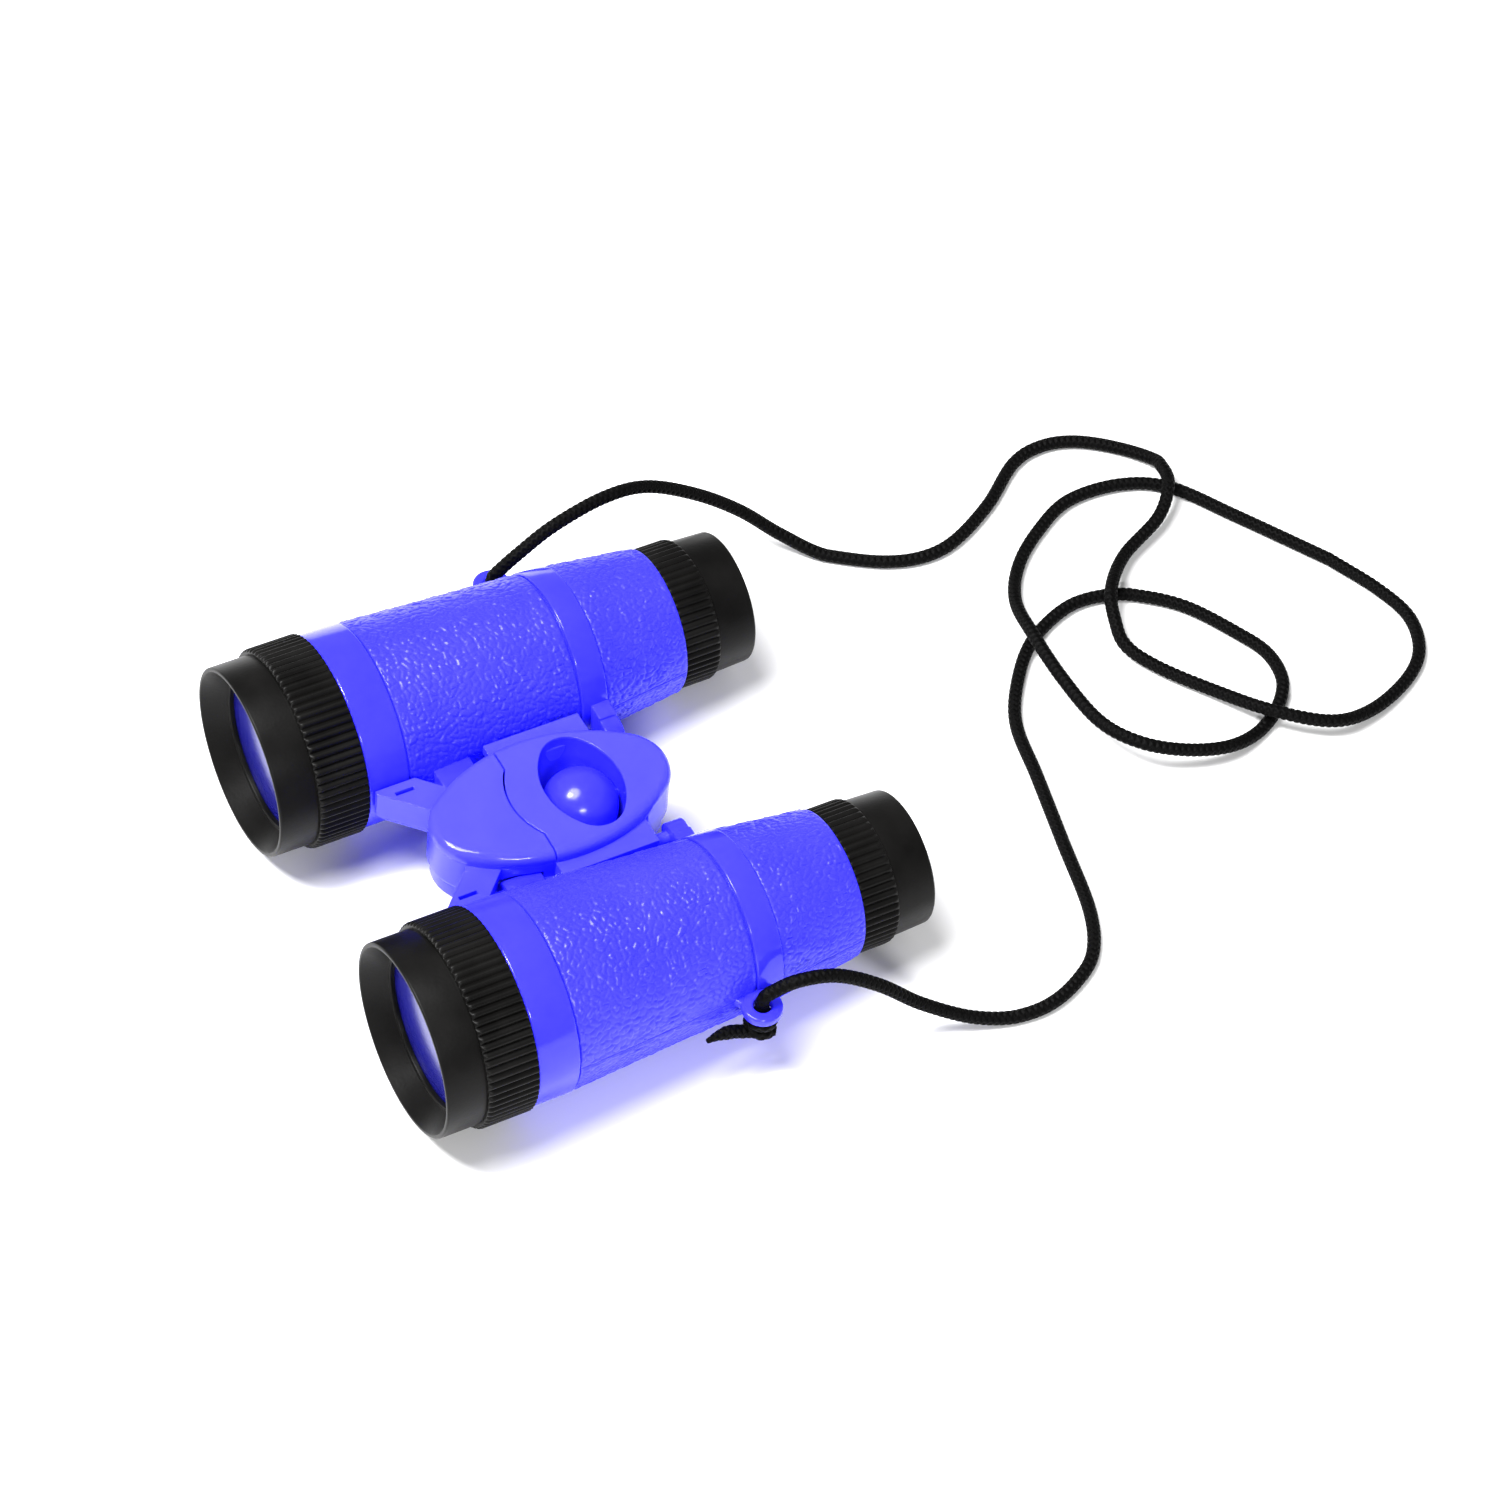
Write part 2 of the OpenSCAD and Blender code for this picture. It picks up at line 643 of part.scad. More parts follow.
module objective_lens(left) color(glass) sided(left) at_barrel() translate([0, 0, lens_y]) {
    cylinder(r = lens_r, h = lens_edge);
    mirror([0, 0, 1]) bulge(lip_r - fit_gap, lens_bulge);
}

// Flat ring with its front face on a station
module keeper(y, r, wall, len) {
    translate([0, 0, y]) difference() {
        cylinder(r = r, h = len);
        translate([0, 0, -cut]) cylinder(r = r - wall, h = len + 2 * cut);
    }
}

module lens_keeper(left) color(black) sided(left) at_barrel()
    keeper(lens_y + lens_edge, lens_r, keeper_wall, keeper_len);

module eyepiece(left) color(black) sided(left) at_barrel() difference() {
    union() {
        translate([0, 0, barrel_end - plug_len]) cylinder(r = plug_r - fit_gap, h = plug_len + eye_ring_len);
        translate([0, 0, barrel_end]) linear_extrude(height = eye_ring_len)
            ribbed(eye_rib_count, eye_ring_r, eye_rib_depth);
        translate([0, 0, eye_ring_end]) cylinder(r1 = cup_front_r, r2 = cup_rear_r, h = cup_len);
    }
    plug_open = barrel_end - plug_len - cut;
    rotate_extrude() polygon([[0, plug_open], [eye_lens_r + fit_gap, plug_open],
        [eye_lens_r + fit_gap, eye_lens_rear], [eye_stop_r, eye_lens_rear], [eye_stop_r, cup_floor],
        [cup_bore_r, cup_floor], [cup_bore_r, total_len + cut], [0, total_len + cut]]);
}

module eye_lens(left) color(glass) sided(left) at_barrel() {
    translate([0, 0, eye_lens_front]) cylinder(r = eye_lens_r, h = eye_lens_edge);
    translate([0, 0, eye_lens_rear]) bulge(eye_stop_r - fit_gap, eye_lens_bulge);
    translate([0, 0, eye_lens_front]) mirror([0, 0, 1])
        bulge(eye_lens_r - eye_keeper_wall - fit_gap, eye_lens_bulge);
}

module eye_keeper(left) color(black) sided(left) at_barrel()
    keeper(eye_lens_front - eye_keeper_len, eye_lens_r, eye_keeper_wall, eye_keeper_len);

// Stopper knot under an eyelet: the cord's end, one turn round it, and the tail
module cord_knot(left) color(black) sided(left) translate([eyelet_x, eyelet_y, 0]) {
    translate([0, 0, tail_z]) cylinder(r = cord_r, h = -tail_z);
    translate([0, 0, knot_z]) rotate_extrude() translate([knot_r, 0]) circle(r = cord_r);
    translate([0, -knot_tail, tail_z]) along() cylinder(r = cord_r, h = knot_tail);
    translate([0, 0, tail_z]) sphere(r = cord_r);
}

// The cord's middle line, with its ends straight out of the eyelets
cord_points = concat(
    [lie_pt([eyelet_x, eyelet_y, 0]), lie_pt([eyelet_x, eyelet_y, cord_lead])],
    [for (p = cord_route) [p[0], p[1], p[2] + cord_r]],
    [lie_pt([-eyelet_x, eyelet_y, cord_lead]), lie_pt([-eyelet_x, eyelet_y, 0])]);
cord_last = len(cord_points) - 1;
function unit(v) = v / norm(v);
function step(i) = unit(cord_points[i + 1] - cord_points[i]);
function heading(i) = i == 0 ? step(0) : i == cord_last ? step(i - 1) : unit(step(i - 1) + step(i));
function square_to(v, t) = unit(v - (v * t) * t);
cord_side = [for (i = 0, n = square_to([1, 0, 0], heading(0)); i <= cord_last;
    i = i + 1, n = i <= cord_last ? square_to(n, heading(i)) : n) n];
function cord_ring(i) = let (t = heading(i), n = cord_side[i], b = cross(t, n))
    [for (k = [0 : cord_sides - 1]) let (a = 360 * k / cord_sides)
        cord_points[i] + cord_r * (n * cos(a) + b * sin(a))];

// Tube of triangles through some of the rings
module cord(first, last) {
    rings = last - first;
    top = rings * cord_sides;
    polyhedron(
        points = [for (i = [first : last]) each cord_ring(i)],
        faces = concat(
            [for (i = [0 : rings - 1]) for (k = [0 : cord_sides - 1])
                [i * cord_sides + k, (i + 1) * cord_sides + k, i * cord_sides + (k + 1) % cord_sides]],
            [for (i = [0 : rings - 1]) for (k = [0 : cord_sides - 1])
                [(i + 1) * cord_sides + k, (i + 1) * cord_sides + (k + 1) % cord_sides,
                    i * cord_sides + (k + 1) % cord_sides]],
            [for (k = [1 : cord_sides - 2]) [0, k, k + 1]],
            [for (k = [1 : cord_sides - 2]) [top, top + k + 1, top + k]]));
}

module neck_cord(left) color(black) {
    if (left) cord(0, cord_split);
    else cord(cord_split, cord_last);
}

hub_body();
hub_tub();
cover_front();
cover_rear();
screw(front_screw_y);  // screw_front
screw(rear_screw_y);  // screw_rear
focus_ball();
hinge_pin(true);  // hinge_pin_left
hinge_pin(false);  // hinge_pin_right
barrel(true);  // barrel_left
barrel(false);  // barrel_right
objective_cap(true);  // objective_cap_left
objective_cap(false);  // objective_cap_right
objective_lens(true);  // objective_lens_left
objective_lens(false);  // objective_lens_right
lens_keeper(true);  // lens_keeper_left
lens_keeper(false);  // lens_keeper_right
eyepiece(true);  // eyepiece_left
eyepiece(false);  // eyepiece_right
eye_lens(true);  // eye_lens_left
eye_lens(false);  // eye_lens_right
eye_keeper(true);  // eye_keeper_left
eye_keeper(false);  // eye_keeper_right
cord_knot(true);  // cord_knot_left
cord_knot(false);  // cord_knot_right
neck_cord(true);  // neck_cord_left
neck_cord(false);  // neck_cord_right
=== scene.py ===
"""Looks of the toy binoculars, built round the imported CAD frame."""
import math

import bmesh
import bpy
import numpy as np
from mathutils import Matrix, Vector


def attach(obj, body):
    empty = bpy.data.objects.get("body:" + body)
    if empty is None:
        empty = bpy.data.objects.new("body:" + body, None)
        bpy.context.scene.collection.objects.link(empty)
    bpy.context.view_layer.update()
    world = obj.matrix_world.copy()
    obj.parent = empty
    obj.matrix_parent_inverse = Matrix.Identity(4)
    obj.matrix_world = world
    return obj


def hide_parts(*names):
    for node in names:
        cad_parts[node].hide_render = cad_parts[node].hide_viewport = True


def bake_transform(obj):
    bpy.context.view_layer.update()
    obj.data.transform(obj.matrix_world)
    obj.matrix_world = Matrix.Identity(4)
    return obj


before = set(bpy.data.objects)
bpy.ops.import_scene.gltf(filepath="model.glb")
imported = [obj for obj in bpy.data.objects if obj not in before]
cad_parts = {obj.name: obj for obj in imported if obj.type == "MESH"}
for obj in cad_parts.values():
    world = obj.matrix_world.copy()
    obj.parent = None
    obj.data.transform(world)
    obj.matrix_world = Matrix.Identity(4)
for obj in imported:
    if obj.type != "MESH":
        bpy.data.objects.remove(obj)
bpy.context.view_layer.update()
scene = bpy.context.scene
scene.view_settings.view_transform = "Standard"

MM = 0.001
WELD = 0.005 * MM
SIDES = {"left": 1, "right": -1}

# Barrels, as the part's source has them: stations along a barrel and radii, in millimetres
BARREL_X = 39.5
SPIGOT_START = 9.6
CAP_END = 20.0
BORE_END = 22.2
COLLAR_END = 29.2
GRAIN_END = 70.8
BAND_END = 77.0
PLUG_START = 90.0
BARREL_END = 97.6
SPIGOT_R = 19.6
SPIGOT_BORE_R = 17.8
COLLAR_R = 21.5
BAND_FRONT_R = 19.2
BAND_REAR_R = 18.95
TAIL_R = 16.1
SOCKET_R = 13.6

# Hinge parts and eyelet of a barrel
HINGE_X = 15.0
KNUCKLE_R = 3.0
KNUCKLE_START = 35.0
KNUCKLE_END = 43.5
KNUCKLE_ROOT_X = 22.0
LUG_START = 72.8
LUG_TOP = 3.7
LUG_FACE = 1.7
LUG_ROOT_X = 24.0
EYELET_X = 62.2
EYELET_Y = 70.0
EYELET_R = 4.25
EYELET_HOLE_R = 1.9
EYELET_HALF = 1.1
CORD_R = 1.5

# Objective cap and its lens
HOOD_DEEP = 5.0
LENS_START = 6.2
LENS_END = 7.8
LENS_TOP = 5.2
HOOD_R = 20.9
MOUTH_R = 20.0
THROAT_R = 17.2
LIP_R = 16.4
LENS_R = 18.2
LENS_SEAT_R = 18.25
CAP_SOCKET_R = 19.65
RING_R = 22.1

# Eyepiece and its lens
EYE_LENS_START = 105.2
EYE_LENS_TOP = 104.3
RIB_END = 106.0
EYE_LENS_END = 107.4
EYE_LENS_BACK = 108.3
CUP_FLOOR = 109.0
TOTAL = 115.2
EYE_RING_R = 15.95
CUP_FRONT_R = 15.1
CUP_R = 14.7
CUP_BORE_R = 12.4
EYE_STOP_R = 8.6
EYE_LENS_R = 10.0
EYE_SEAT_R = 10.05
PLUG_R = 13.55

# Focus ball
BALL_Y = 59.9
BALL_Z = 0.3
BALL_R = 8.2
TRUNNION_R = 1.4
TRUNNION_REACH = 10.7

# The barrels lie on their ribbed rings and the rear edges of their middle bands
TILT = math.atan((RING_R - BAND_REAR_R) / (BAND_END - CAP_END))
REST_Z = CAP_END * math.sin(TILT) + RING_R * math.cos(TILT)
FRONT_Y = -HOOD_R * math.sin(TILT)
REAR_Y = TOTAL * math.cos(TILT) + CUP_R * math.sin(TILT)
LIE = (Matrix.Scale(MM, 4) @ Matrix.Translation((0, -(FRONT_Y + REAR_Y) / 2, REST_Z))
       @ Matrix.Rotation(-TILT, 4, "X"))


def lie(x, y, z):
    """Frame point, in metres, of a point given along the barrels in millimetres."""
    return LIE @ Vector((x, y, z))


# Camera: the photograph's, with its slight roll, from its place and the picture's right and down
CAMERA_PLACE = (0.5470, -0.28214, 0.82473)
CAMERA_RIGHT = (0.4696, 0.8821, 0.0370)
CAMERA_DOWN = (0.7050, -0.3494, -0.6172)
CAMERA_LENS = 116.25
CAMERA_SENSOR = 36.0
CAMERA_REACH = 20

right = Vector(CAMERA_RIGHT)
ahead = right.cross(-Vector(CAMERA_DOWN)).normalized() * -1
right.normalize()
up = right.cross(ahead).normalized()
camera = bpy.data.objects.new("camera", bpy.data.cameras.new("camera"))
camera.data.lens = CAMERA_LENS
camera.data.sensor_width = CAMERA_SENSOR
camera.data.clip_end = CAMERA_REACH
turn = Matrix((right, up, -ahead)).transposed()
camera.matrix_world = Matrix.Translation(CAMERA_PLACE) @ turn.to_4x4()
scene.collection.objects.link(camera)
scene.camera = camera


def put(name, mesh, material, body, nodes=()):
    """Adds a mesh as a piece that rides on a body, if one is given, and stands for CAD nodes."""
    piece = bpy.data.objects.new(name, mesh)
    scene.collection.objects.link(piece)
    mesh.materials.append(material)
    if nodes:
        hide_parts(*nodes)
    if body:
        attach(piece, body)
    return piece


# Making of meshes: angles in degrees, lengths in millimetres
SHARP = 40
GRAIN_SHARP = 75
BAR_SHARP = 30
BAR_ROUND = 0.3
BAR_STEPS = 3
FILLET_STEPS = 4
FILLET_SHARE = 0.48
AXIS_R = 0.001


def build(name, parts, flip=False, sharp=SHARP):
    """Smooth mesh of (points, faces) lists, mirrored if flip is set; sharper edges stay sharp."""
    points = []
    faces = []
    for some_points, some_faces in parts:
        base = len(points)
        points.extend(some_points)
        faces.extend([base + i for i in face] for face in some_faces)
    if flip:
        points = [(-x, y, z) for x, y, z in points]
    mesh = bpy.data.meshes.new(name)
    mesh.from_pydata(points, [], faces)
    mesh.transform(LIE)
    bm = bmesh.new()
    bm.from_mesh(mesh)
    bmesh.ops.remove_doubles(bm, verts=bm.verts, dist=WELD)
    bmesh.ops.recalc_face_normals(bm, faces=bm.faces)
    bm.to_mesh(mesh)
    bm.free()
    mesh.shade_smooth()
    mesh.set_sharp_from_angle(angle=math.radians(sharp))
    return mesh


def raw(name, points, faces):
    """Smooth mesh of points that are already in the frame."""
    mesh = bpy.data.meshes.new(name)
    mesh.from_pydata([tuple(p) for p in points], [], faces)
    mesh.shade_smooth()
    return mesh


def grid(rows):
    """Points and faces of a grid of rows, each row closed on itself."""
    count = len(rows[0])
    points = [tuple(p) for row in rows for p in row]
    faces = []
    for i in range(len(rows) - 1):
        here = i * count
        there = here + count
        for k in range(count):
            n = (k + 1) % count
            faces.append((here + k, here + n, there + n, there + k))
    return points, faces


def circle(count):
    """Angles of evenly spaced points round a circle."""
    return np.arange(count) * 2 * math.pi / count


def ring_row(y, r, angles, centre=(BARREL_X, 0.0)):
    """Ring of points round a line along Y; r is one radius or one for each angle."""
    x = centre[0] + r * np.cos(angles)
    z = centre[1] + r * np.sin(angles)
    return np.stack((x, np.full_like(angles, y), z), axis=1)


def lathe(profile, angles, centre=(BARREL_X, 0.0)):
    """Turns a profile of (station, radius) about a line along Y through centre."""
    return grid([ring_row(y, r, angles, centre) for y, r in profile])


def arc_cosine(value):
    """Arc cosine of a value that may lie a rounding error past 1."""
    return math.acos(max(-1.0, min(1.0, float(value))))


def rounded(corners, steps=FILLET_STEPS):
    """Closed profile with rounded corners; each corner is (station, radius, rounding)."""
    out = []
    count = len(corners)
    for i, (y, r, fillet) in enumerate(corners):
        if fillet == 0:
            out.append((y, r))
            continue
        here = np.array((y, r), float)
        before = np.array(corners[i - 1][:2], float) - here
        after = np.array(corners[(i + 1) % count][:2], float) - here
        room = FILLET_SHARE * min(np.linalg.norm(before), np.linalg.norm(after))
        u = before / np.linalg.norm(before)
        v = after / np.linalg.norm(after)
        half = arc_cosine(u @ v) / 2
        reach = min(fillet / math.tan(half), room)
        radius = reach * math.tan(half)
        middle = here + (u + v) / np.linalg.norm(u + v) * radius / math.sin(half)
        a = here + u * reach - middle
        b = here + v * reach - middle
        spread = arc_cosine(a @ b / radius ** 2)
        for k in range(steps + 1):
            t = k / steps
            mixed = math.sin((1 - t) * spread) * a + math.sin(t * spread) * b
            out.append(tuple(middle + mixed / math.sin(spread)))
    return out + [out[0]]


def drawn_out(outline, axis, end):
    """Bmesh of a flat outline of points that is drawn out along an axis, 0 to 2, to end."""
    bm = bmesh.new()
    face = bm.faces.new([bm.verts.new(point) for point in outline])
    for v in bmesh.ops.extrude_face_region(bm, geom=[face])["geom"]:
        if isinstance(v, bmesh.types.BMVert):
            v.co[axis] = end
    bmesh.ops.recalc_face_normals(bm, faces=bm.faces)
    return bm


def bevelled(bm, edges):
    """Points and faces of a bmesh with the given edges rounded; the bmesh is freed."""
    bmesh.ops.bevel(bm, geom=edges, offset=BAR_ROUND, segments=BAR_STEPS, profile=0.5, affect="EDGES")
    bm.verts.index_update()
    made = ([tuple(v.co) for v in bm.verts], [[v.index for v in f.verts] for f in bm.faces])
    bm.free()
    return made


def beam(outline, y0, y1):
    """Bar along Y with an (x, z) outline and its sharp edges rounded."""
    bm = drawn_out([(x, y0, z) for x, z in outline], 1, y1)
    least = math.radians(BAR_SHARP)
    return bevelled(bm, [e for e in bm.edges if len(e.link_faces) == 2 and e.calc_face_angle() > least])


# Leather grain: leaning pebbles with creases between them, on the unrolled barrel
GRAIN_SEED = 7
GRAIN_COLUMNS = 80
GRAIN_ROWS = 64
GRAIN_CELL = 1.6
GRAIN_LONG = 1.35
GRAIN_REACH = 2
LOW_PEBBLE = 0.45
CREASE = 0.4
FAR_OFF = 9.0

noise = np.random.default_rng(GRAIN_SEED)
pebble_shift = noise.uniform(0.0, 1.0, (GRAIN_COLUMNS, GRAIN_ROWS, 2))
pebble_tall = noise.uniform(LOW_PEBBLE, 1.0, (GRAIN_COLUMNS, GRAIN_ROWS))
pebble_lean = noise.uniform(0.0, math.pi, (GRAIN_COLUMNS, GRAIN_ROWS))


def pebbles(angles, station):
    """Height share, 0 to 1, of the grain at each angle of one station."""
    u = angles / (2 * math.pi) * GRAIN_COLUMNS
    v = np.full_like(u, station / GRAIN_CELL)
    nearest = np.full_like(u, FAR_OFF)
    second = np.full_like(u, FAR_OFF)
    height = np.zeros_like(u)
    reach = range(-GRAIN_REACH, GRAIN_REACH + 1)
    for du in reach:
        for dv in reach:
            column = np.floor(u).astype(int) + du
            row = np.floor(v).astype(int) + dv
            cell = (column % GRAIN_COLUMNS, row % GRAIN_ROWS)
            x = column + pebble_shift[cell][:, 0] - u
            y = row + pebble_shift[cell][:, 1] - v
            cos = np.cos(pebble_lean[cell])
            sin = np.sin(pebble_lean[cell])
            far = np.hypot((x * cos + y * sin) / GRAIN_LONG, (y * cos - x * sin) * GRAIN_LONG)
            closer = far < nearest
            second = np.where(closer, nearest, np.minimum(second, far))
            height = np.where(closer, pebble_tall[cell], height)
            nearest = np.where(closer, far, nearest)
    share = np.clip((second - nearest) / CREASE, 0, 1)
    return height * share * (2 - share)


# Grained sleeves: the grain's height and the mould seam along both sides, in millimetres
GRAIN_TALL = 0.35
GRAIN_SINK = 0.45
GRAIN_EDGE = 0.4
GRAIN_STEP = 0.26
GRAIN_SIDES = 540
SLEEVE_WALL = 0.7
SEAM_TALL = 0.25
SEAM_HALF = 0.38
SEAM_FLANK = 0.7
SEAM_GRAIN = 0.35
SEAM_PLACES = (-0.5, -0.3, -0.16, -0.08, 0.08, 0.16, 0.3, 0.5)
SEAM_AT_R = 20.0

seam_turns = np.array(SEAM_PLACES) / SEAM_AT_R
grain_angles = np.sort(np.concatenate((
    circle(GRAIN_SIDES), seam_turns % (2 * math.pi), math.pi + seam_turns)))


def grained(y0, r0, y1, r1, phase):
    """Closed grained sleeve between two stations, with a mould seam along both sides."""
    rows = [ring_row(y0, r0 - SLEEVE_WALL, grain_angles)]
    for y in np.linspace(y0, y1, int((y1 - y0) / GRAIN_STEP) + 1):
        base = r0 + (r1 - r0) * (y - y0) / (y1 - y0)
        edge = min(1.0, (y - y0) / GRAIN_EDGE, (y1 - y) / GRAIN_EDGE)
        off_seam = np.abs(np.sin(grain_angles)) * base
        seam = np.clip(1 - off_seam / SEAM_HALF, 0, 1)
        plain = np.clip(off_seam / SEAM_FLANK, SEAM_GRAIN, 1)
        bump = GRAIN_TALL * pebbles(grain_angles, y + phase) * plain
        r = base + edge * np.maximum(bump, SEAM_TALL * seam)
        rows.append(ring_row(y, r, grain_angles))
    rows += [ring_row(y1, r1 - SLEEVE_WALL, grain_angles), rows[0]]
    return grid(rows)


RIB_POINTS = 10
RIB_POWER = 0.55


def ribs(count, crest, groove, stations, ends):
    """Rows and angles of a ribbed band; ends gives the rounding of the ribs' front and rear ends."""
    angles = circle(count * RIB_POINTS)
    rib = np.power(0.5 + 0.5 * np.cos(angles * count), RIB_POWER)
    rows = []
    for y in stations:
        near = min(1.0, (y - stations[0]) / ends[0])
        far = min(1.0, (stations[-1] - y) / ends[1])
        share = math.sqrt(1 - (1 - near) ** 2) * math.sqrt(1 - (1 - far) ** 2)
        rows.append(ring_row(y, groove + (crest - groove) * rib * share, angles))
    return rows, angles


# Materials: clouded colour and roughness, and fine pits of (scale, strength, depth in metres)
CLOUD_DETAIL = 4.0
CLOUD_LOW = 0.35
CLOUD_HIGH = 0.65
PIT_DETAIL = 3.0
EDGE_SAMPLES = 6


def tree(name):
    """New material with its shader, its nodes and the call that links them."""
    material = bpy.data.materials.new(name)
    material.use_nodes = True
    nodes = material.node_tree.nodes
    return material, nodes["Principled BSDF"], nodes, material.node_tree.links.new


def mottle(nodes, link, shader, colours, scale, roughness):
    """Slight cloudy change of colour and roughness over a surface; gives the node of places."""
    place = nodes.new("ShaderNodeTexCoord")
    clouds = nodes.new("ShaderNodeTexNoise")
    clouds.inputs["Scale"].default_value = scale
    clouds.inputs["Detail"].default_value = CLOUD_DETAIL
    link(place.outputs["Object"], clouds.inputs["Vector"])
    ramp = nodes.new("ShaderNodeValToRGB")
    stops = ramp.color_ramp.elements
    for stop, position, colour in zip(stops, (CLOUD_LOW, CLOUD_HIGH), colours):
        stop.position = position
        stop.color = (*colour, 1)
    link(clouds.outputs["Fac"], ramp.inputs["Fac"])
    link(ramp.outputs["Color"], shader.inputs["Base Color"])
    spread = nodes.new("ShaderNodeMapRange")
    spread.inputs["To Min"].default_value = roughness[0]
    spread.inputs["To Max"].default_value = roughness[1]
    link(clouds.outputs["Fac"], spread.inputs["Value"])
    link(spread.outputs["Result"], shader.inputs["Roughness"])
    return place


def pitted(nodes, link, shader, place, pits, edge):
    """Fine bump of a moulded surface, over edges rounded by a small radius if one is given."""
    scale, strength, depth = pits
    grain = nodes.new("ShaderNodeTexNoise")
    grain.inputs["Scale"].default_value = scale
    grain.inputs["Detail"].default_value = PIT_DETAIL
    link(place.outputs["Object"], grain.inputs["Vector"])
    bump = nodes.new("ShaderNodeBump")
    bump.inputs["Strength"].default_value = strength
    bump.inputs["Distance"].default_value = depth
    link(grain.outputs["Fac"], bump.inputs["Height"])
    if edge:
        bevel = nodes.new("ShaderNodeBevel")
        bevel.samples = EDGE_SAMPLES
        bevel.inputs["Radius"].default_value = edge
        link(bevel.outputs["Normal"], bump.inputs["Normal"])
    link(bump.outputs["Normal"], shader.inputs["Normal"])


def surface(name, colours, clouds, roughness, sockets, pits=None, edge=None):
    """Material of clouded colours and fine pits, with values for some of its shader's sockets."""
    material, shader, nodes, link = tree(name)
    place = mottle(nodes, link, shader, colours, clouds, roughness)
    if pits:
        pitted(nodes, link, shader, place, pits, edge)
    for socket, value in sockets.items():
        shader.inputs[socket].default_value = value
    return material


BARREL_BLUES = ((0.029, 0.025, 0.96), (0.036, 0.031, 0.98))
# The hub's blues are the barrels' blue made lighter: a painted reflection of a bright ceiling on the hub's
# covers
HUB_BLUES_PAINTED_REFLECTION = ((0.046, 0.042, 0.96), (0.054, 0.049, 0.98))
HUB_EDGE = 0.0004


def blue_plastic(name, blues, roughness, glow, edge=None):
    """Blue plastic that lets some light in; glow is the share that scatters under the surface."""
    sockets = {"IOR": 1.49, "Specular IOR Level": 0.35, "Subsurface Weight": glow,
               "Subsurface Radius": (0.1, 0.1, 1.0), "Subsurface Scale": 0.005}
    return surface(name, blues, clouds=60.0, roughness=roughness, pits=(900.0, 0.06, 0.0002), edge=edge,
                   sockets=sockets)


smooth_blue = blue_plastic("blue_gloss", BARREL_BLUES, roughness=(0.1, 0.16), glow=0.35)
# Hub plastic: a lighter copy of the barrels' blue, whose lighter colour is a painted reflection
hub_blue_painted_reflection = blue_plastic("blue_gloss_hub_painted_reflection", HUB_BLUES_PAINTED_REFLECTION, roughness=(0.05, 0.09), glow=0.25, edge=HUB_EDGE)
ball_blue = blue_plastic("blue_ball", BARREL_BLUES, roughness=(0.18, 0.24), glow=0.35)
grain_blue = blue_plastic("blue_grain", BARREL_BLUES, roughness=(0.27, 0.35), glow=0.15)
black = surface("black_satin", ((0.002, 0.0019, 0.0018), (0.0045, 0.0043, 0.0041)), clouds=90.0,
                roughness=(0.32, 0.46), pits=(1500.0, 0.12, 0.0002), sockets={"Specular IOR Level": 0.09})
cloth = surface("braided_cord", ((0.0007, 0.0007, 0.0007), (0.0017, 0.0016, 0.0016)), clouds=700.0,
                roughness=(0.45, 0.6), pits=(4000.0, 0.3, 0.0002), sockets={"Specular IOR Level": 0.05})
metal = surface("zinc_steel", ((0.5, 0.5, 0.51), (0.62, 0.62, 0.63)), clouds=400.0,
                roughness=(0.25, 0.4), pits=(2000.0, 0.1, 0.0001), sockets={"Metallic": 1.0})
lens = surface("lens_glass", ((0.012, 0.012, 0.34), (0.016, 0.016, 0.40)), clouds=30.0,
               roughness=(0.16, 0.22), sockets={"Transmission Weight": 0.5, "IOR": 1.3, "Coat Weight": 0.3,
                                                "Coat Roughness": 0.18})

